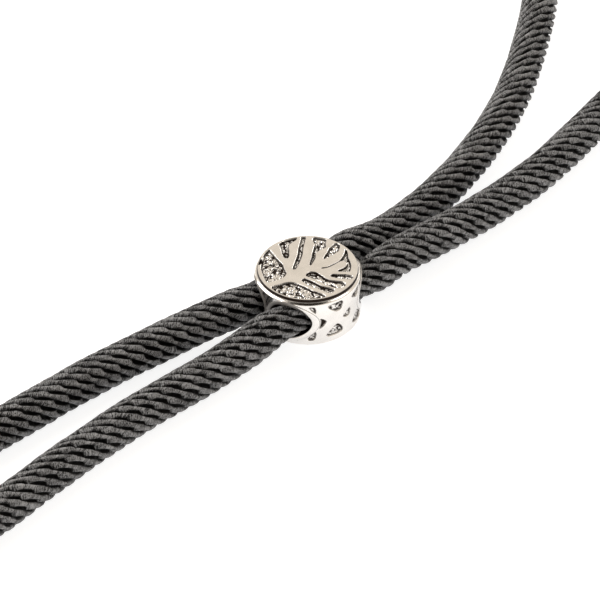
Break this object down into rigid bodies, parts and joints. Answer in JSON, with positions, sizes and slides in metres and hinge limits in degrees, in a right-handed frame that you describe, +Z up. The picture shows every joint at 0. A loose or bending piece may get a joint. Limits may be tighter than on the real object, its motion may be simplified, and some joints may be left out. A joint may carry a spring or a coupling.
{
  "type": "sliding bead bracelet",
  "caption": "Adjustable cord bracelet: a twill-wrapped cord loops through a round metal slider bead with a tree in relief, and its tails end in metal caps.",
  "frame": {"origin": "middle of the slider bead's flat underside, on the surface that the bracelet lies on", "axes": "+X along the bead's cord channels, from the tails to the wrist loop; +Y across the two channels, to the side that the loop leans to; +Z up out of the bead's top"},
  "size_m": [0.1626, 0.0745, 0.0056],
  "materials": {
    "bead": "polished warm silver, with a rough darkened ground between the branches and in the side cells",
    "cord": "dark grey wrapped polyester twill cord with a soft sheen",
    "end_cap": "polished warm silver, plain"
  },
  "bodies": {
    "root": {"bead": "bead", "cord": "cord", "end_cap_front": "end_cap", "end_cap_back": "end_cap"}
  },
  "joints": []
}
